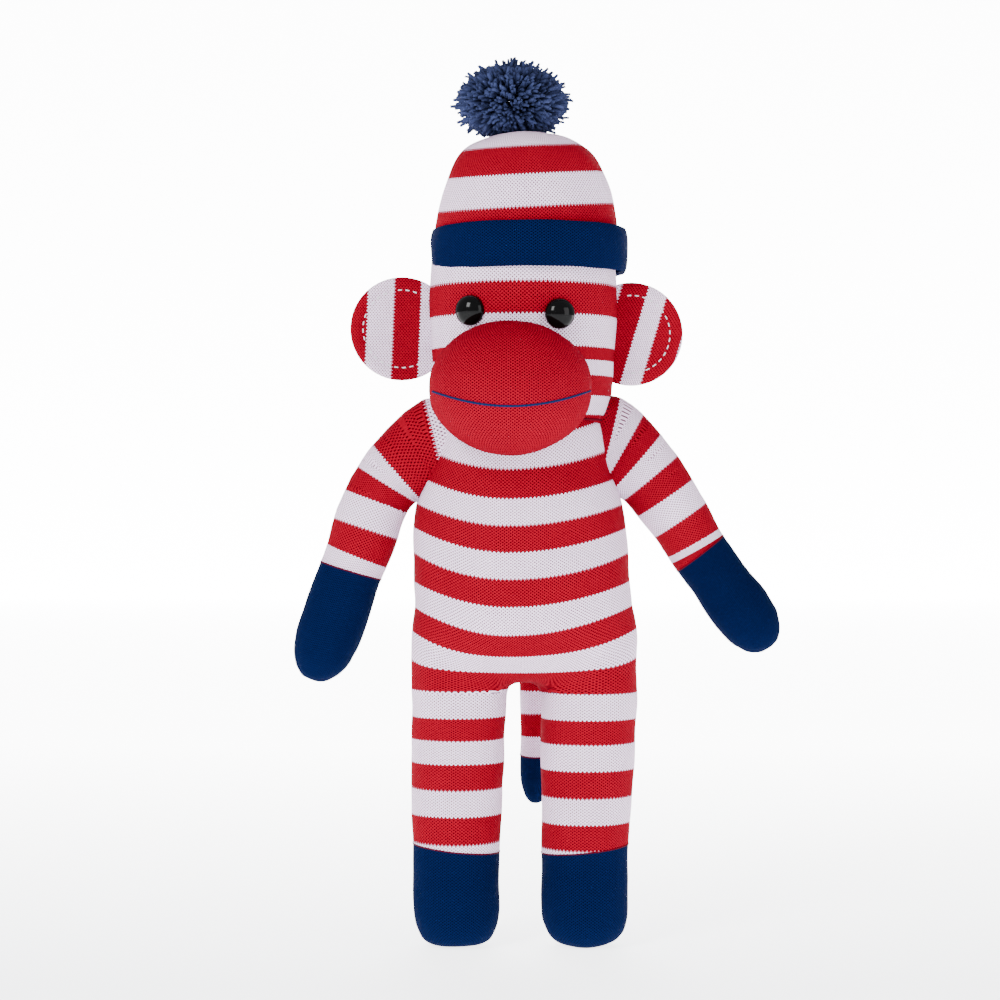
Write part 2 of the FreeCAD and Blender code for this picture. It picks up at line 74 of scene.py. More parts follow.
MM = 0.001
low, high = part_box("torso_skin")
BODY_X = (low[0] + high[0]) / 2
BODY_Y = (low[1] + high[1]) / 2


def at(x, y, z):
    return Vector((BODY_X + x * MM, BODY_Y + y * MM, z * MM))


def local(point):
    """Millimetres from the middle of the body, for a point in metres."""
    return (point[0] - BODY_X) / MM, (point[1] - BODY_Y) / MM, point[2] / MM


# ------------------------------------------------------------------ shader maths
class Val:
    """A shader value; ordinary arithmetic on it adds Math nodes."""

    def __init__(self, tree, socket):
        self.tree = tree
        self.socket = socket

    def math(self, operation, *others):
        node = self.tree.nodes.new("ShaderNodeMath")
        node.operation = operation
        for place, item in enumerate((self,) + others):
            if isinstance(item, Val):
                self.tree.links.new(item.socket, node.inputs[place])
            else:
                node.inputs[place].default_value = item
        return Val(self.tree, node.outputs[0])

    def lift(self, number):
        node = self.tree.nodes.new("ShaderNodeValue")
        node.outputs[0].default_value = number
        return Val(self.tree, node.outputs[0])

    def __add__(self, other):
        return self.math("ADD", other)

    __radd__ = __add__

    def __sub__(self, other):
        return self.math("SUBTRACT", other)

    def __rsub__(self, other):
        return self.lift(other) - self

    def __mul__(self, other):
        return self.math("MULTIPLY", other)

    __rmul__ = __mul__

    def __truediv__(self, other):
        return self.math("DIVIDE", other)

    def __lt__(self, other):
        return self.math("LESS_THAN", other)

    def __gt__(self, other):
        return self.math("GREATER_THAN", other)

    def __abs__(self):
        return self.math("ABSOLUTE")

    def __pow__(self, other):
        return self.math("POWER", other)

    def fract(self):
        return self.math("FRACT")

    def clamp(self):
        return self.math("MAXIMUM", 0.0).math("MINIMUM", 1.0)

    def sin(self):
        return self.math("SINE")


class Shader:
    """One node material."""

    def __init__(self, name):
        self.material = bpy.data.materials.new(name)
        self.material.use_nodes = True
        self.tree = self.material.node_tree
        self.tree.nodes.clear()

    def node(self, kind, settings=None, **inputs):
        node = self.tree.nodes.new(kind)
        for key, value in (settings or {}).items():
            setattr(node, key, value)
        for key, value in inputs.items():
            socket = node.inputs[int(key[1:])] if key[1:].isdigit() else node.inputs[key.replace("_", " ")]
            if isinstance(value, Val):
                self.tree.links.new(value.socket, socket)
            elif hasattr(value, "is_output"):
                self.tree.links.new(value, socket)
            else:
                socket.default_value = value
        return node

    def mix(self, factor, one, two, blend="MIX"):
        settings = {"data_type": "RGBA", "blend_type": blend}
        return self.node("ShaderNodeMix", settings, _0=factor, _6=one, _7=two).outputs[2]

    def uv(self):
        split = self.node("ShaderNodeSeparateXYZ", None, _0=self.node("ShaderNodeTexCoord").outputs["UV"])
        return Val(self.tree, split.outputs[0]), Val(self.tree, split.outputs[1])

    def noise(self, scale, detail=2.0):
        spot = self.node("ShaderNodeTexCoord").outputs["Object"]
        node = self.node("ShaderNodeTexNoise", None, Vector=spot, Scale=scale, Detail=detail, Roughness=0.5)
        return Val(self.tree, node.outputs[0])

    def finish(self, colour, roughness, height=None, strength=1.0, reach=0.001, **fixed):
        sockets = {"Base_Color": colour, "Roughness": roughness}
        if height is not None:
            bump = self.node("ShaderNodeBump", None, Strength=strength, Distance=reach, Height=height)
            sockets["Normal"] = bump.outputs[0]
        skin = self.node("ShaderNodeBsdfPrincipled", None, **sockets, **fixed)
        self.node("ShaderNodeOutputMaterial", None, Surface=skin.outputs[0])
        return self.material


RED = (0.28, 0.0, 0.012, 1)
WHITE = (0.98, 0.8, 1.0, 1)
NAVY = (0.0005, 0.006, 0.042, 1)
MUZZLE_RED = (0.27, 0.0, 0.012, 1)
SEAM_RED = (0.09, 0.0, 0.006, 1)
BAND = 13.0  # height of one colour band, in the course height laid on every striped piece
COURSE = 1.45  # height of one knitted stitch
TOOTH = 1.25  # height of the zigzag where two colours meet
SEAM_THREAD = 0.35  # radius of the thread in a sewn seam


def stitches(across, along):
    """The V stitches of a jersey: groove, small gaps, yarn ridges and the zigzag of a colour change."""
    side = abs(across.fract() - 0.5) * 2.0  # 0 in the middle of a wale, 1 in the groove
    row = along / COURSE
    ridge = ((row + side).fract() * math.pi).sin()
    dots = ((across * 2 * math.pi).math("COSINE") * (row * 2 * math.pi).math("COSINE") - 0.22) * 1.7
    return side, ridge, dots.clamp(), side * TOOTH


def knit(name, base, second=None, rib=0.0):
    """Jersey knit; with a second colour, the two alternate every BAND of course height."""
    shader = Shader(name)
    across, along = shader.uv()
    side, ridge, gap, zigzag = stitches(across, along)
    colour = base
    if second:
        band = ((COURSE * 0.4 - along - zigzag) / (2 * BAND)).fract() < 0.5
        colour = shader.mix(band, second, base)
    fade = shader.noise(55.0, 3.0)
    cloud = shader.mix(((fade - 0.3) * 1.2).clamp(), (0.88, 0.86, 0.88, 1), (1, 1, 1, 1))
    colour = shader.mix(1.0, colour, cloud, "MULTIPLY")
    fuzz = shader.noise(900.0, 2.0)
    # painted shade: darker in the small gaps between stitches, in the hollow between the yarn ridges and
    # towards each wale's groove; the fuzz term adds random tone
    shade = gap * 1.5 + (1.0 - ridge) * 0.3 + (side ** 4.0) * 0.12 + (fuzz - 0.5) * 0.3
    dark = shader.mix(shade.clamp(), (1, 1, 1, 1), (0.12, 0.04, 0.07, 1))
    colour = shader.mix(1.0, colour, dark, "MULTIPLY")
    bump = (1.0 - side ** 3.0) * 0.45 + ridge * 0.4 - gap * 0.6 + fuzz * 0.3
    if rib:
        bump = bump + ((across / 2.0).fract() > 0.5) * rib
    return shader.finish(
        colour, 0.86 + fuzz * 0.1, bump, 0.7, 0.0006, Sheen_Weight=0.06, Sheen_Roughness=0.5,
        Sheen_Tint=tuple(min(1, c * 2) for c in base[:3]) + (1,), Specular_IOR_Level=0.02
    )


def thread_finish(name, colour):
    shader = Shader(name)
    twist = shader.noise(1400.0, 2.0)
    tone = shader.mix(twist, colour, tuple(c * 0.55 for c in colour[:3]) + (1,))
    return shader.finish(tone, 0.75 + twist * 0.1, twist, 0.6, 0.0003, Specular_IOR_Level=0.05)


def plastic(name, colour, rough, gloss):
    shader = Shader(name)
    grain = shader.noise(420.0, 3.0)
    tone = shader.mix(grain * 0.25, colour, tuple(c * 0.8 + 0.004 for c in colour[:3]) + (1,))
    return shader.finish(tone, rough + grain * 0.03, grain, 0.03, 0.0001, Specular_IOR_Level=gloss)


# ------------------------------------------------------------------ modelling helpers
def clear():
    if bpy.context.mode != "OBJECT":
        bpy.ops.object.mode_set(mode="OBJECT")
    bpy.ops.object.select_all(action="DESELECT")


def pick(obj):
    clear()
    obj.select_set(True)
    bpy.context.view_layer.objects.active = obj


def tube(name, rings, columns):
    """Closed tube: a disc extruded ring by ring; a ring is (x, y, z, rx, ry, tilt)."""
    clear()
    x, y, z, rx, ry, tilt = rings[0]
    bpy.ops.mesh.primitive_circle_add(vertices=columns, radius=MM, fill_type="NGON", location=at(x, y, z))
    obj = bpy.context.object
    obj.name = name
    bpy.ops.object.mode_set(mode="EDIT")
    bpy.ops.mesh.select_all(action="SELECT")
    bpy.ops.transform.resize(value=(rx, ry, 1), center_override=at(x, y, z))
    if tilt:
        turn(tilt, "Y", at(x, y, z))
    for ring in rings[1:]:
        nx, ny, nz, nrx, nry, ntilt = ring
        step = at(nx, ny, nz) - at(x, y, z)
        bpy.ops.mesh.extrude_region_move(TRANSFORM_OT_translate={"value": step})
        spot = at(nx, ny, nz)
        flat = 1 if not ntilt and not tilt else nrx / rx
        bpy.ops.transform.resize(value=(nrx / rx, nry / ry, flat), center_override=spot)
        if ntilt != tilt:
            turn(ntilt - tilt, "Y", spot)
        x, y, z, rx, ry, tilt = ring
    bpy.ops.mesh.select_all(action="SELECT")
    bpy.ops.mesh.normals_make_consistent(inside=False)
    bpy.ops.object.mode_set(mode="OBJECT")
    bpy.ops.object.transform_apply(location=True, rotation=True, scale=True)
    return obj


def turn(degrees, axis, centre):
    """Rotate what is selected; a windowless rotate turns the other way."""
    bpy.ops.transform.rotate(value=-math.radians(degrees), orient_axis=axis, center_override=centre)


def apply_modifier(obj, kind, **settings):
    pick(obj)
    mod = obj.modifiers.new(kind, kind)
    for key, value in settings.items():
        setattr(mod, key, value)
    bpy.ops.object.modifier_apply(modifier=mod.name)


def join(first, *others):
    pick(first)
    for other in others:
        other.select_set(True)
    bpy.ops.object.join()
    return first


def lumps(obj, size, amount, seed):
    """Uneven filling: the skin moves in and out a little along its normals."""
    mesh = obj.data
    shift = Vector((seed, seed * 1.7, seed * 0.3))
    normals = [v.normal.copy() for v in mesh.vertices]
    for vertex, normal in zip(mesh.vertices, normals):
        value = noise.noise(vertex.co / (size * MM) + shift)
        vertex.co += normal * (value * amount * MM)


CLOTH_FRAMES = 15


def stuff(obj, voxel, cap, pressure, smooth, lump, seed):
    """Fill a shell: even mesh, a short cloth run under pressure, then one subdivision."""
    apply_modifier(obj, "REMESH", mode="VOXEL", voxel_size=voxel * MM)
    apply_modifier(obj, "SMOOTH", factor=0.5, iterations=smooth)
    before = [v.co.copy() for v in obj.data.vertices]
    pick(obj)
    mod = obj.modifiers.new("Cloth", "CLOTH")
    cloth = mod.settings
    cloth.quality = 5
    cloth.mass = 0.15
    cloth.tension_stiffness = 18
    cloth.compression_stiffness = 18
    cloth.shear_stiffness = 6
    cloth.bending_stiffness = 0.4
    cloth.use_pressure = True
    cloth.uniform_pressure_force = pressure
    cloth.effector_weights.gravity = 0
    mod.collision_settings.use_collision = False
    scene = bpy.context.scene
    for number in range(1, CLOTH_FRAMES + 1):
        scene.frame_set(number)
    bpy.ops.object.modifier_apply(modifier=mod.name)
    scene.frame_set(1)
    for vertex, start in zip(obj.data.vertices, before):
        move = vertex.co - start
        if move.length > cap * MM:
            vertex.co = start + move.normalized() * cap * MM
    apply_modifier(obj, "SUBSURF", levels=1, render_levels=1)
    lumps(obj, 16.0, lump, seed)


def split(obj, point, normal, name):
    """Cut the mesh on a plane; the part on the normal's side becomes a new object."""
    pick(obj)
    before = set(bpy.data.objects)
    bpy.ops.object.mode_set(mode="EDIT")
    bpy.ops.mesh.select_all(action="SELECT")
    bpy.ops.mesh.bisect(plane_co=point, plane_no=normal)
    bpy.ops.mesh.select_all(action="DESELECT")
    bpy.ops.object.mode_set(mode="OBJECT")
    for face in obj.data.polygons:
        face.select = (face.center - point).dot(normal) > 0
    bpy.ops.object.mode_set(mode="EDIT")
    bpy.ops.mesh.select_mode(type="FACE")
    bpy.ops.mesh.separate(type="SELECTED")
    bpy.ops.object.mode_set(mode="OBJECT")
    fresh = (set(bpy.data.objects) - before).pop()
    fresh.name = name
    return fresh


def knit_map(obj, across, along, period):
    """Lay the knit on a piece: u counts wales, v is the course height in millimetres."""
    mesh = obj.data
    while mesh.uv_layers:
        mesh.uv_layers.remove(mesh.uv_layers[0])
    layer = mesh.uv_layers.new(name="Knit")
    pairs = [(across(*local(v.co)), along(*local(v.co))) for v in mesh.vertices]
    for face in mesh.polygons:
        corners = [pairs[mesh.loops[i].vertex_index] for i in face.loop_indices]
        top = max(u for u, v in corners)
        for i, (u, v) in zip(face.loop_indices, corners):
            if period and top - u > period / 2:
                u += period
            layer.data[i].uv = (u, v)


def around(cx, cy, wales):
    """Wales counted round an upright tube; the count starts at the back."""

    def count(x, y, z):
        angle = (math.atan2(y - cy, x - cx) - math.pi / 2) % (2 * math.pi)
        return angle / (2 * math.pi) * wales

    return count


def coat(obj, material):
    obj.data.materials.clear()
    obj.data.materials.append(material)


def dress(obj, material, body=None):
    """Smooth faces and a material; a body is given for a piece that rides on just one."""
    coat(obj, material)
    for face in obj.data.polygons:
        face.use_smooth = True
    if body:
        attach(obj, body)
    return obj


def open_ends(obj):
    """Take the selected end faces off a tube."""
    pick(obj)
    bpy.ops.object.mode_set(mode="EDIT")
    bpy.ops.mesh.select_mode(type="FACE")
    bpy.ops.mesh.delete(type="FACE")
    bpy.ops.object.mode_set(mode="OBJECT")


def thread(name, points, radius, material, resolution=1, closed=False):
    """A round thread through the points: a closed loop, or an open smooth line."""
    curve = bpy.data.curves.new(name, "CURVE")
    curve.dimensions = "3D"
    spline = curve.splines.new("POLY" if closed else "NURBS")
    spline.points.add(len(points) - 1)
    for slot, spot in zip(spline.points, points):
        slot.co = (*spot, 1)
    if closed:
        spline.use_cyclic_u = True
    else:
        spline.use_endpoint_u = True
        spline.order_u = 3
    curve.bevel_depth = radius * MM
    curve.bevel_resolution = resolution
    obj = bpy.data.objects.new(name, curve)
    bpy.context.collection.objects.link(obj)
    pick(obj)
    bpy.ops.object.convert(target="MESH")
    return dress(bpy.context.object, material)


def rim(obj, name, material):
    """A sewing thread laid along the open edge of a piece."""
    mesh = bmesh.new()
    mesh.from_mesh(obj.data)
    edge = [e for e in mesh.edges if len(e.link_faces) == 1]
    links = {}
    for e in edge:
        one, two = e.verts
        links.setdefault(one, []).append(two)
        links.setdefault(two, []).append(one)
    start = here = edge[0].verts[0]
    before = None
    loop = []
    while True:
        loop.append(here.co.copy())
        ahead = [v for v in links[here] if v is not before][0]
        before, here = here, ahead
        if here is start:
            break
    mesh.free()
    return thread(name, loop, SEAM_THREAD, material, closed=True)


# ------------------------------------------------------------------ torso and legs
TORSO = [
    (265.5, 0, 34, 33), (264.5, 0, 39, 38), (261, 0, 42.6, 41), (252, 0, 44, 41.5), (240, -0.8, 46.5, 42),
    (230, -2, 50.2, 42.4), (220, -2.4, 53.4, 42.8), (210, -2.2, 54.8, 43), (192, -1.6, 55.4, 43),
    (172, -0.6, 56, 42), (160, 0, 57, 39.5), (150, 0, 57.4, 36), (142, 0, 57, 32), (136, 0, 53, 27),
    (132, 0, 44, 19),
]
LEG = [
    (176, 0, 20), (165, 0, 24.6), (152, 0, 25.4), (138, 0, 25.4), (120, 0, 25.2), (96, -0.6, 24.8),
    (70, -1.2, 23.8),
    (52, -1.8, 23), (40, -1.8, 22.6), (26, -1.8, 23), (14, -1.8, 22.6), (7, -1.8, 20.6), (2.5, -1.8, 17.5),
    (0.3, -1.8, 13.5),
]
HIP = 32.7
LEG_CUT = 127.0  # where the legs leave the torso
LEG_BLEND_END = 84  # a height on the leg; nothing uses it
FOOT_BORDER = 49.0  # where the navy foot begins

body = tube("torso_knit", [(x, 0, z, rx - 1, ry - 1, 0) for z, x, rx, ry in TORSO], 40)
legs = []
for sign in (-1, 1):
    legs.append(tube("leg", [(sign * HIP + x, 0, z, r - 0.8, r - 0.8, 0) for z, x, r in LEG], 28))
join(body, *legs)
stuff(body, 3.4, 2.4, 4.0, smooth=3, lump=0.7, seed=3.0)
for vertex in body.data.vertices:
    vertex.co.z = max(vertex.co.z, 0.0)


def courses(z, table, first=0):
    """Course height of z, when the colours change at the heights in the table, top first."""
    if z >= table[0]:
        step = (table[0] - z) / (table[0] - table[1])
    elif z <= table[-1]:
        step = len(table) - 1 + (table[-1] - z) / (table[-2] - table[-1])
    else:
        for number, (top, bottom) in enumerate(zip(table, table[1:])):
            if z >= bottom:
                step = number + (top - z) / (top - bottom)
                break
    return -(first + step) * BAND


def smooth(value):
    value = min(1.0, max(0.0, value))
    return value * value * (3 - 2 * value)


TORSO_MIDDLE = (237.5, 223, 210, 197, 184, 170.5, 156.5, 145.5, 136, 126.5)
TORSO_SIDE = (252, 235, 221, 208.5, 196, 181.5, 169, 156.5, 143.5, 129.5)
LEG_BANDS = {
    "right": (139.5, 128.5, 115, 104, 92.5, 79.5, 66.5, 52.5, 40),
    "left": (139.5, 127, 114, 102, 89, 75.5, 62.5, 49.5, 37),
}


def torso_course(x, y, z):
    """Courses sag in the middle of the front and run level on the legs."""
    off = x + 8
    sag = min(1.15, (off / 46) ** 2 if off < 0 else (off / 59) ** 2)
    if y > 0:
        sag = 1 - 0.35 * (1 - sag)
    upper = courses(z, TORSO_MIDDLE) * (1 - sag) + courses(z, TORSO_SIDE) * sag
    right = smooth((6 - x) / 12)
    lower = courses(z, LEG_BANDS["right"], 8) * right + courses(z, LEG_BANDS["left"], 8) * (1 - right)
    part = smooth((150 - z) / 22)
    return upper * (1 - part) + lower * part


SIDES = (("right", -1), ("left", 1))
striped_wool = knit("striped_jersey", RED, WHITE)
navy_wool = knit("navy_jersey", NAVY)
red_wool = knit("red_jersey", MUZZLE_RED, rib=0.2)
seam_red = thread_finish("dark_red_thread", SEAM_RED)
navy_thread = thread_finish("navy_thread", (0.004, 0.012, 0.06, 1))
white_thread = thread_finish("white_thread", (0.8, 0.78, 0.84, 1))

right_leg = split(body, at(0, 0, LEG_CUT), Vector((0, 0, -1)), "right_leg_knit")
left_leg = split(right_leg, at(0, 0, 0), Vector((1, 0, 0)), "left_leg_knit")
for (side, sign), leg in zip(SIDES, (right_leg, left_leg)):
    slant = math.radians(6)
    border = at(sign * HIP, 0, FOOT_BORDER)
    down = Vector((sign * math.sin(slant), 0, -math.cos(slant)))
    foot = split(leg, border, down, side + "_foot_knit")
    ring = rim(foot, side + "_foot_seam", seam_red)
    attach(ring, side + "_leg")
    knit_map(leg, around(sign * HIP - 1, 0, 70), torso_course, 70)
    knit_map(foot, around(sign * HIP - 1.8, 0, 70), lambda x, y, z: z, 70)
    dress(leg, striped_wool)
    dress(foot, navy_wool, side + "_leg")
    bend_start = at(sign * HIP, 0, LEG_CUT)
    side + "_leg"
    at(sign * HIP, 0, LEG_BLEND_END)
    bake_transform(leg)
    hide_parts(side + "_leg_sleeve", side + "_leg_stuffing")
    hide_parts(side + "_foot_cap")
knit_map(body, around(0, 0, 136), torso_course, 136)
dress(body, striped_wool, "torso")
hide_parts("torso_skin", "torso_stuffing")

# ------------------------------------------------------------------ arms
ARMS = {
    "right": {
        "rings": [
            (-34, 251.5, 22, 86), (-40, 250.5, 25, 84), (-46, 249, 25.4, 78), (-52, 246.2, 23.2, 70),
            (-59, 241, 20.6, 61), (-67, 234, 18.4, 50), (-73.5, 223.5, 18, 34), (-78, 211, 18, 22),
            (-83, 196, 17.2, 19), (-88, 183.5, 16.8, 17.5), (-93.3, 168, 17.2, 18), (-98, 154, 17.3, 18),
            (-102, 143, 15.4, 18), (-104.5, 136, 11, 18), (-105.6, 132.4, 6, 18),
        ],
        "border": (-87, 187.5, 17.0),
        "root": (-61.0, 240.5, 66),
        "outer": (
            (-49.5, 272.5), (-76, 250), (-85, 240.5), (-91.5, 228.5), (-96, 214), (-101, 201.5), (-104, 193),
        ),
    },
    "left": {
        "rings": [
            (32, 252.5, 22, 88), (38, 251.5, 25.2, 86), (44, 250, 25.8, 82), (51, 246, 23.4, 72),
            (58.5, 239.5, 20.4, 61), (66, 230.5, 18.8, 50), (72.5, 221, 17.8, 43), (80, 210, 16.6, 39),
            (87.7, 196.5, 15.7, 38), (97, 183.5, 15.8, 37), (107.5, 169, 16.4, 37), (115, 159, 15.2, 37),
            (120, 152.5, 11.4, 37), (122.6, 149, 6, 37),
        ],
        "border": (87.7, 195.7, 38.0),
        "root": (61.0, 237.0, 63),
        "outer": (
            (36, 282), (48, 273), (58.5, 263.5), (68.5, 255.5), (76.5, 244.5), (85, 233.5), (92, 222),
            (98, 208.5), (99.3, 205.5),
        ),
    },
}


ARM_WALES = 54
ARM_DEPTH = 17.6  # half the front-to-back size of an arm, at most


def along_arm(spec):
    """Where a point lies along the arm's middle line, and how far off it."""
    points = [Vector((x, z)) for x, z, r, tilt in spec["rings"]]
    marks = [0.0]
    for one, two in zip(points, points[1:]):
        marks.append(marks[-1] + (two - one).length)

    def place(x, z):
        spot = Vector((x, z))
        best = (1e9, 0, 0)
        for number, (one, two) in enumerate(zip(points, points[1:])):
            run = two - one
            part = (spot - one).dot(run) / run.length_squared
            if number:
                part = max(0, part)
            if number < len(points) - 2:
                part = min(1, part)
            off = spot - (one + run * part)
            if off.length < best[0]:
                way = run.normalized()
                best = (off.length, marks[number] + run.length * part, off.dot(Vector((-way.y, way.x))))
        return best

    bands = [-place(x, z)[1] for x, z in spec["outer"]]

    def course(x, y, z):
        return courses(-place(x, z)[1], bands)

    def wale(x, y, z):
        return (math.atan2(y, place(x, z)[2]) / (2 * math.pi) % 1.0) * ARM_WALES

    return wale, course


for side, sign in SIDES:
    spec = ARMS[side]
    rings = []
    for x, z, r, tilt in spec["rings"]:
        deep = min(r, ARM_DEPTH)
        rings.append((x, 0, z, r - 0.8, deep - 0.8, -sign * tilt))
    sleeve = tube(side + "_arm_knit", rings, 28)
    stuff(sleeve, 3.0, 1.8, 3.5, smooth=2, lump=0.6, seed=7.0 + sign)
    bx, bz, lean = spec["border"]
    border = at(bx, 0, bz)
    down = Vector((sign * math.sin(math.radians(lean)), 0, -math.cos(math.radians(lean))))
    rx, rz, tilt = spec["root"]
    outward = Vector((sign * math.sin(math.radians(tilt)), 0, -math.cos(math.radians(tilt))))
    hand = split(sleeve, border, down, side + "_hand_knit")
    ring = rim(hand, side + "_hand_seam", seam_red)
    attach(ring, side + "_arm")
    root = split(sleeve, at(rx, 0, rz), -outward, side + "_shoulder_knit")
    wale, course = along_arm(spec)
    for part, wool in ((root, striped_wool), (sleeve, striped_wool), (hand, navy_wool)):
        knit_map(part, wale, course, ARM_WALES)
        dress(part, wool)
    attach(hand, side + "_arm")
    side + "_shoulder"
    at(sign * 46, 0, 248)
    at(rx - sign * 2, 0, rz)
    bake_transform(root)
    hinge = at(rx, 0, rz)
    side + "_shoulder"
    side + "_arm"
    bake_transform(sleeve)
    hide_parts(side + "_arm_sleeve", side + "_arm_stuffing")
    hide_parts(side + "_hand_cap")

# ------------------------------------------------------------------ head
HEAD = [
    (238, 14), (244, 27), (250, 34), (256, 38), (262, 40.8), (268, 42.6), (276, 43.4), (288, 44.3),
    (300, 45.2),
    (311, 46), (322, 46.3), (334, 45.6), (345, 44.4), (356, 42.6), (366, 40.4), (378, 36.6), (388, 30.6),
    (396, 21), (400, 11),
]
head = tube("head_knit", [(-0.5, 0, z, r + 0.9, r * 0.978 + 0.4, 0) for z, r in HEAD], 40)
stuff(head, 3.4, 1.6, 3.0, smooth=2, lump=0.5, seed=11.0)


HEAD_BANDS = (328.5, 312.7, 297.2, 291, 283.7, 273.7, 264.5, 252)
knit_map(head, around(0, 0, 142), lambda x, y, z: courses(z, HEAD_BANDS), 142)
dress(head, striped_wool, "head")
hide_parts("head_skin", "head_stuffing")

# ------------------------------------------------------------------ muzzle
MUZZLE = (-7.0, -45.0, 276.6)
clear()
bpy.ops.mesh.primitive_uv_sphere_add(segments=48, ring_count=32, radius=MM, location=at(*MUZZLE))
muzzle = bpy.context.object
muzzle.name = "muzzle_knit"
muzzle.scale = (39.8, 37.6, 32.6)
bpy.ops.object.transform_apply(location=True, rotation=True, scale=True)
stuff(muzzle, 3.0, 1.2, 3.0, smooth=1, lump=0.5, seed=5.0)
knit_map(muzzle, around(-7, -30, 150), lambda x, y, z: z, 150)
dress(muzzle, red_wool, "head")
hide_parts("muzzle_skin", "muzzle_stuffing")


def on_surface(obj, start, direction):
    """First point of the mesh met from start along direction, and its normal."""
    hit, spot, normal, index = obj.ray_cast(start, direction)
    return (spot, normal) if hit else (None, None)


mouth = []
for step in range(33):
    x = -44.0 + 75.0 * step / 32
    z = 266.5 + 9.0 * ((x + 7.0) / 40) ** 2
    spot, normal = on_surface(muzzle, at(x, -120, z), Vector((0, 1, 0)))
    if spot is not None and spot.y < at(0, -46, 0).y:
        mouth.append(spot + normal * 0.1 * MM)
mouth_line = thread("mouth_stitch", mouth, 0.55, navy_thread, resolution=2)
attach(mouth_line, "head")
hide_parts("mouth_thread")

# ------------------------------------------------------------------ eyes
eye_black = plastic("black_eye_plastic", (0.001, 0.001, 0.001, 1), 0.07, 0.1)
washer_white = plastic("washer_plastic", (0.7, 0.7, 0.68, 1), 0.4, 0.4)
EYES = (("right", -26.0, 314.4), ("left", 16.5, 312.5))
EYE_RADIUS = 7.5
FACE_HALF_WIDTH = 46.5
FACE_HALF_DEPTH = 45.5
for side, x, z in EYES:
    clear()
    angle = math.asin(x / FACE_HALF_WIDTH)
    y = -FACE_HALF_DEPTH * math.cos(angle)
    bpy.ops.mesh.primitive_uv_sphere_add(
        segments=48, ring_count=24, radius=EYE_RADIUS * MM, location=(0, 0, 0)
    )
    eye = bpy.context.object
    eye.name = side + "_eye_dome"
    bpy.ops.object.mode_set(mode="EDIT")
    bpy.ops.mesh.select_all(action="SELECT")
    bpy.ops.mesh.bisect(plane_co=(0, 0, 0), plane_no=(0, 0, 1), clear_inner=True, use_fill=True)
    bpy.ops.mesh.select_all(action="SELECT")
    bpy.ops.transform.resize(value=(1, 1, 0.72))
    bpy.ops.object.mode_set(mode="OBJECT")
    outward = Vector((math.sin(angle * 0.7), -math.cos(angle * 0.7), 0))
    turned = outward.to_track_quat("Z", "Y").to_matrix().to_4x4()
    eye.matrix_world = Matrix.Translation(at(x * 1.005, y - 0.2, z)) @ turned
    bpy.ops.object.transform_apply(location=True, rotation=True, scale=True)
    dress(eye, eye_black, "head")
    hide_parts(side + "_eye")
    coat(frame["nodes"][side + "_eye_washer"], washer_white)

# ------------------------------------------------------------------ ears
EARS = {
    "right": {"out": 61.0, "z": 308.0, "bands": (-91.5, -78.5, -65.5, -52.0, -39), "slant": 0.04},
    "left": {"out": 53.5, "z": 305.3, "bands": (41.5, 55.5, 65.5, 79.5, 92), "slant": 0.3},
}
EAR_ROOT = 43.5  # how far out the ears start, just inside the head
EAR_WALE = 1.7  # width of one wale on an ear
STITCH_RING = 19.4  # radius of the ring of dashes
STITCH_ROOT = 52  # nearer to the head than this there are no dashes
DASHES = 32
for side, sign in SIDES:
    spec = EARS[side]
    clear()
    centre = at(sign * spec["out"], 0, spec["z"])
    bpy.ops.mesh.primitive_uv_sphere_add(segments=64, ring_count=32, radius=MM, location=centre)
    ear = bpy.context.object
    ear.name = side + "_ear_knit"
    bpy.ops.object.mode_set(mode="EDIT")
    bpy.ops.mesh.select_all(action="SELECT")
    turn(90, "X", centre)
    bpy.ops.transform.resize(value=(25.8, 3.4, 25.8), center_override=centre)
    bpy.ops.object.mode_set(mode="OBJECT")
    bpy.ops.object.transform_apply(location=True, rotation=True, scale=True)
    for vertex in ear.data.vertices:
        x, y, z = local(vertex.co)
        reach = math.hypot(x - sign * spec["out"], z - spec["z"])
        groove = math.exp(-((reach - 19.6) / 1.3) ** 2)
        flat = 0.62 if reach < 19 else 1.0
        y = y * (1 - 0.45 * groove) * (flat if groove < 0.5 else 1)
        cup = 2.6 * (reach / 26) ** 2
        vertex.co = at(x, y - cup + 1.2, z)
    pick(ear)
    bpy.ops.object.mode_set(mode="EDIT")
    bpy.ops.mesh.select_all(action="SELECT")
    inner = at(sign * EAR_ROOT, 0, spec["z"])
    bpy.ops.mesh.bisect(plane_co=inner, plane_no=(-sign, 0, 0), clear_outer=True)
    bpy.ops.object.mode_set(mode="OBJECT")
    front = split(ear, centre + Vector((0, 0.0002, 0)), Vector((0, -1, 0)), side + "_ear_front_knit")
    table = [-edge for edge in spec["bands"]]

    def course(x, y, z):
        return courses(-x + spec["slant"] * (z - spec["z"]), table)

    for part, node_name in ((front, "_ear_front_panel"), (ear, "_ear_back_panel")):
        knit_map(part, lambda x, y, z: z / EAR_WALE, course, 0)
        dress(part, striped_wool, side + "_ear")
        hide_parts(side + node_name)

    dashes = []
    for number in range(DASHES):
        if spec["out"] + STITCH_RING * sign * math.cos(2 * math.pi * number / DASHES) < STITCH_ROOT:
            continue
        points = []
        for part in range(4):
            angle = 2 * math.pi * (number + part * 0.17) / DASHES
            x = sign * spec["out"] + STITCH_RING * math.cos(angle)
            z = spec["z"] + STITCH_RING * math.sin(angle)
            spot, normal = on_surface(front, at(x, -60, z), Vector((0, 1, 0)))
            if spot is not None:
                points.append(spot + normal * 0.05 * MM)
        if len(points) == 4:
            dashes.append(thread(side + "_ear_dash", points, 0.32, white_thread))
    stitching = join(*dashes)
    stitching.name = side + "_ear_stitching"
    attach(stitching, side + "_ear")
    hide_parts(side + "_ear_topstitch")

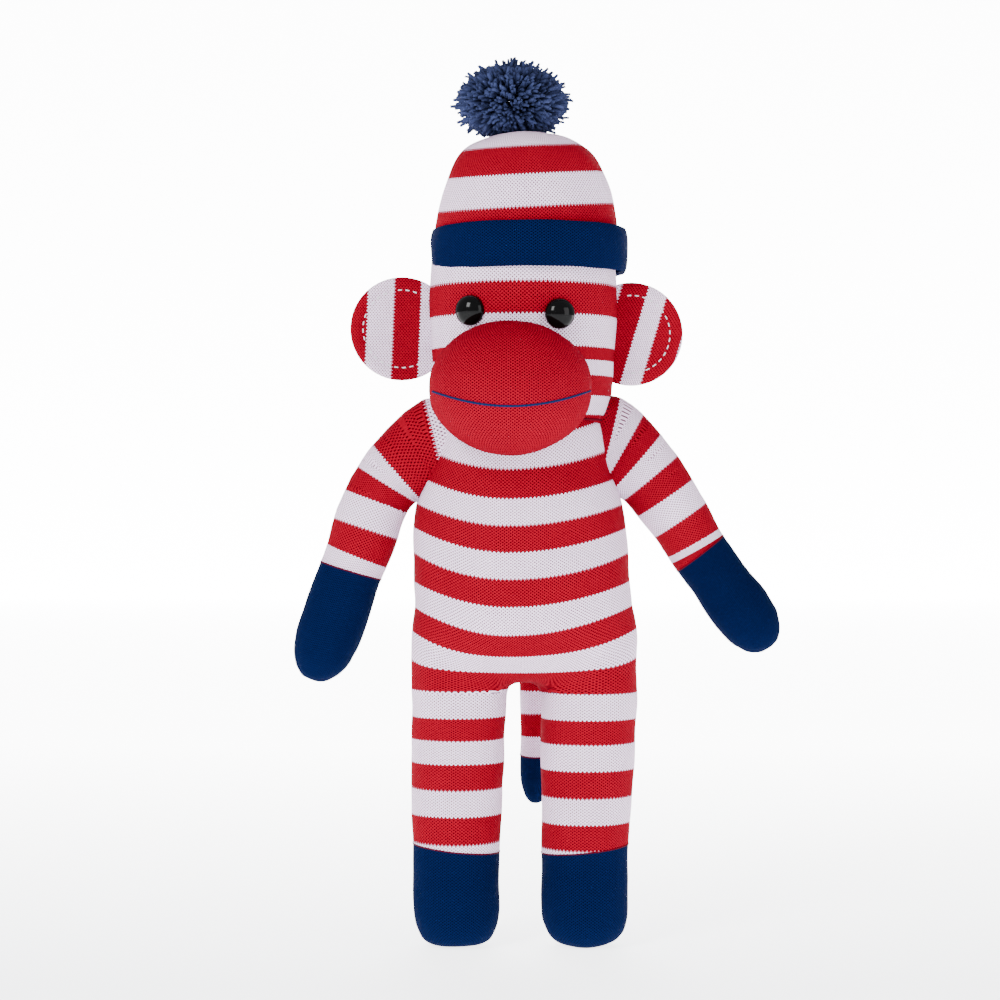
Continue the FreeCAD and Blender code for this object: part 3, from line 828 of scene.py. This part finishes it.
# ------------------------------------------------------------------ hat
CROWN = [
    (340, 46.9), (346, 46.6), (354, 45.6), (362, 44.6), (372, 42.9), (382, 40.2), (391, 36), (398, 30.5),
    (403, 22), (405.5, 12),
]
crown = tube("hat_crown_knit", [(1.3, 0, z, r + 0.5, r * 0.99, 0) for z, r in CROWN], 40)
for face in crown.data.polygons:
    face.select = face.center.z < at(0, 0, 340.2).z and face.normal.z < -0.9
open_ends(crown)
apply_modifier(crown, "SUBSURF", levels=2, render_levels=2)
lumps(crown, 14.0, 0.7, 21.0)
apply_modifier(crown, "SOLIDIFY", thickness=1.6 * MM, offset=-1)
HAT_BANDS = (398.5, 384.5, 368.5, 354)
HAT_WALES = 150


def hat_course(x, y, z):
    return courses(z - 0.05 * x + max(0, -y) * 0.1, HAT_BANDS)


knit_map(crown, around(0, 0, HAT_WALES), hat_course, HAT_WALES)
dress(crown, striped_wool, "hat")
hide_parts("hat_crown")

CUFF = [(335.5, 47.6), (337.5, 49), (343, 49.6), (350, 49.7), (355, 49.3), (357.5, 48.2)]
cuff = tube("hat_cuff_knit", [(2.5, 0, z, r, r * 0.985, 0) for z, r in CUFF], 40)
for face in cuff.data.polygons:
    face.select = abs(face.normal.z) > 0.95
open_ends(cuff)
apply_modifier(cuff, "SUBSURF", levels=2, render_levels=2)
lumps(cuff, 18.0, 0.8, 25.0)
apply_modifier(cuff, "SOLIDIFY", thickness=2.2 * MM, offset=-1)
knit_map(cuff, around(0, 0, HAT_WALES), lambda x, y, z: z, HAT_WALES)
dress(cuff, navy_wool, "hat")
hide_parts("hat_cuff")

# ------------------------------------------------------------------ pompom
POMPOM = (-6.0, 0.0, 421.5)
POMPOM_SIZE = (28.6, 28.2, 20.0)
TURN_OF_STRANDS = 2.399963  # golden angle: spreads the strands evenly
rng = random.Random(41)
verts = []
faces = []
SIDES_OF_STRAND = 5


def strand(root, tip, thick):
    """One cut yarn end: a slightly bent five sided stalk."""
    axis = (tip - root).normalized()
    one = axis.orthogonal().normalized()
    two = axis.cross(one)
    sag = one * rng.uniform(-1.6, 1.6) + two * rng.uniform(-1.6, 1.6)
    first = len(verts)
    for part, wide in ((0, 0.8), (0.45, 1.0), (0.8, 1.05), (1.0, 0.75)):
        centre = root.lerp(tip, part) + sag * math.sin(part * math.pi)
        for number in range(SIDES_OF_STRAND):
            angle = 2 * math.pi * number / SIDES_OF_STRAND
            offset = (one * math.cos(angle) + two * math.sin(angle)) * thick * wide
            verts.append(at(*(centre + offset)))
    for level in range(3):
        for number in range(SIDES_OF_STRAND):
            a = first + level * SIDES_OF_STRAND + number
            b = first + level * SIDES_OF_STRAND + (number + 1) % SIDES_OF_STRAND
            faces.append((a, b, b + SIDES_OF_STRAND, a + SIDES_OF_STRAND))
    faces.append(tuple(first + 3 * SIDES_OF_STRAND + n for n in range(SIDES_OF_STRAND)))
    faces.append(tuple(first + n for n in reversed(range(SIDES_OF_STRAND))))


COUNT = 1700
middle = Vector(POMPOM)
for number in range(COUNT):
    height = 1 - 2 * (number + 0.5) / COUNT
    ring = math.sqrt(1 - height * height)
    angle = number * TURN_OF_STRANDS + rng.uniform(-0.2, 0.2)
    way = Vector((ring * math.cos(angle), ring * math.sin(angle), height))
    stretch = Vector(POMPOM_SIZE)
    reach = rng.uniform(0.86, 1.0) if rng.random() < 0.85 else rng.uniform(0.95, 1.1)
    tip = middle + Vector((way.x * stretch.x, way.y * stretch.y, way.z * stretch.z)) * reach
    root = middle + Vector((way.x * 8, way.y * 8, way.z * 6))
    tip.z = max(tip.z, 403.5 + 0.12 * (math.hypot(tip.x + 6, tip.y) - 3))
    strand(root, tip, rng.uniform(0.7, 1.0))
mesh = bpy.data.meshes.new("pompom")
mesh.from_pydata(verts, [], faces)
pompom = bpy.data.objects.new("pompom_strands", mesh)
bpy.context.collection.objects.link(pompom)
yarn = Shader("pompom_yarn")
twist = yarn.noise(700.0, 3.0)
shade = yarn.noise(120.0, 2.0)
tone = yarn.mix(((shade - 0.3) * 1.6).clamp(), (0.008, 0.011, 0.034, 1), (0.042, 0.055, 0.14, 1))
dress(pompom, yarn.finish(tone, 0.85, twist, 0.7, 0.0005, Specular_IOR_Level=0.08), "pompom")
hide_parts("pompom_yarn")

# ------------------------------------------------------------------ tail
TAIL_X, TAIL_Y, TAIL_Z = 5.0, 52.2, 166.0
TAIL_LEAN = math.radians(7)
TAIL_BORDER = 77.5  # length of tail above its navy tip
tail_rings = []
TAIL = ((0, 7.6), (10, 8.2), (30, 8.3), (56, 8.3), (77.5, 8.6), (91, 8.4), (99.5, 6.4), (104, 3))
for along, radius in TAIL:
    x = TAIL_X + 1.8 * min(1, along / 50)
    y = TAIL_Y + along * math.sin(TAIL_LEAN)
    tail_rings.append((x, y, TAIL_Z - along * math.cos(TAIL_LEAN), radius, radius, 0))
tail_rings.insert(0, (TAIL_X, 44, 170.5, 7.5, 7.5, 0))
tail_rings.insert(0, (TAIL_X, 37, 173, 6, 6, 0))
tail = tube("tail_knit", tail_rings, 20)
stuff(tail, 2.2, 0.8, 2.0, smooth=1, lump=0.4, seed=31.0)
down = Vector((0, math.sin(TAIL_LEAN), -math.cos(TAIL_LEAN)))
border = at(TAIL_X, TAIL_Y + TAIL_BORDER * down.y, TAIL_Z + TAIL_BORDER * down.z)
tip = split(tail, border, down, "tail_tip_knit")
ring = rim(tip, "tail_tip_seam", seam_red)
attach(ring, "tail")
TAIL_BANDS = (134.5, 123, 111, 99, 86, 74)
for part, wool in ((tail, striped_wool), (tip, navy_wool)):
    knit_map(part, around(TAIL_X, 58, 30), lambda x, y, z: courses(z, TAIL_BANDS), 30)
    dress(part, wool)
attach(tip, "tail")
at(TAIL_X, 50, 168)
at(TAIL_X, 54, 146)
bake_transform(tail)
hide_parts("tail_sleeve", "tail_stuffing")
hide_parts("tail_tip_cap")

# ------------------------------------------------------------------ gathers and sewing threads
clear()
bpy.ops.mesh.primitive_torus_add(
    major_radius=40.8 * MM, minor_radius=0.5 * MM, major_segments=96, minor_segments=8, location=at(0, 0, 262)
)
gather = bpy.context.object
gather.name = "neck_gathers"
bpy.ops.object.transform_apply(location=True, rotation=True, scale=True)
dress(gather, seam_red, "neck_thread")
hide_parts("neck_gather_thread")

SEWN_THREADS = {
    "right_ear_seam_thread": seam_red,
    "left_ear_seam_thread": seam_red,
    "right_shoulder_seam": seam_red,
    "left_shoulder_seam": seam_red,
    "tail_root_seam": seam_red,
    "pompom_tie": navy_thread,
}
for name, finish in SEWN_THREADS.items():
    coat(frame["nodes"][name], finish)

# ------------------------------------------------------------------ floor, lights and camera
clear()
bpy.ops.mesh.primitive_plane_add(size=10, location=(0, 0, 0))
floor = bpy.context.object
floor.name = "floor"
paper = Shader("pale_paper")
spot = paper.node("ShaderNodeSeparateXYZ", None, _0=paper.node("ShaderNodeTexCoord").outputs["Object"])
# painted light: the floor glows, weakest near the toy and in front, strongest towards the back
glow = ((Val(paper.tree, spot.outputs[1]) + 0.1) * 0.9).clamp()
shine = paper.mix(glow, (0.3, 0.305, 0.31, 1), (1, 1, 1, 1))
floor.data.materials.append(
    paper.finish((0.86, 0.88, 0.9, 1), 0.75 + glow * 0.05, Emission_Color=shine, Emission_Strength=9.0)
)
clear()
bpy.ops.mesh.primitive_plane_add(size=3.8, location=(0, 4.5, 1.7), rotation=(math.pi / 2, 0, 0))
backdrop = bpy.context.object
backdrop.name = "backdrop"
card = Shader("lit_card")
backdrop.data.materials.append(
    card.finish((0.9, 0.9, 0.9, 1), 0.9, Emission_Color=(1, 1, 1, 1), Emission_Strength=9.0)
)

world = bpy.data.worlds.new("studio")
bpy.context.scene.world = world
world.use_nodes = True
world.node_tree.nodes["Background"].inputs[0].default_value = (0.95, 0.96, 1.0, 1)
world.node_tree.nodes["Background"].inputs[1].default_value = 0.75


def softbox(name, place, aim, size, power):
    light = bpy.data.lights.new(name, "AREA")
    light.shape = "RECTANGLE"
    light.size, light.size_y = size
    light.energy = power
    obj = bpy.data.objects.new(name, light)
    bpy.context.collection.objects.link(obj)
    obj.location = place
    obj.rotation_euler = (Vector(aim) - Vector(place)).to_track_quat("-Z", "Y").to_euler()


softbox("key", (-0.9, -1.3, 1.25), (0, 0, 0.25), (0.55, 0.8), 44)
softbox("fill", (1.4, -1.0, 0.7), (0, 0, 0.22), (0.9, 1.1), 16)
softbox("back", (0.2, 1.3, 1.4), (0, 0, 0.3), (1.2, 0.8), 3)

lens = bpy.data.cameras.new("camera")
camera = bpy.data.objects.new("camera", lens)
bpy.context.collection.objects.link(camera)
camera.location = (-0.0182, -1.25, 0.2225)
camera.rotation_euler = (math.pi / 2, 0, 0)
lens.sensor_width = 36
lens.lens = 90.4
bpy.context.scene.camera = camera
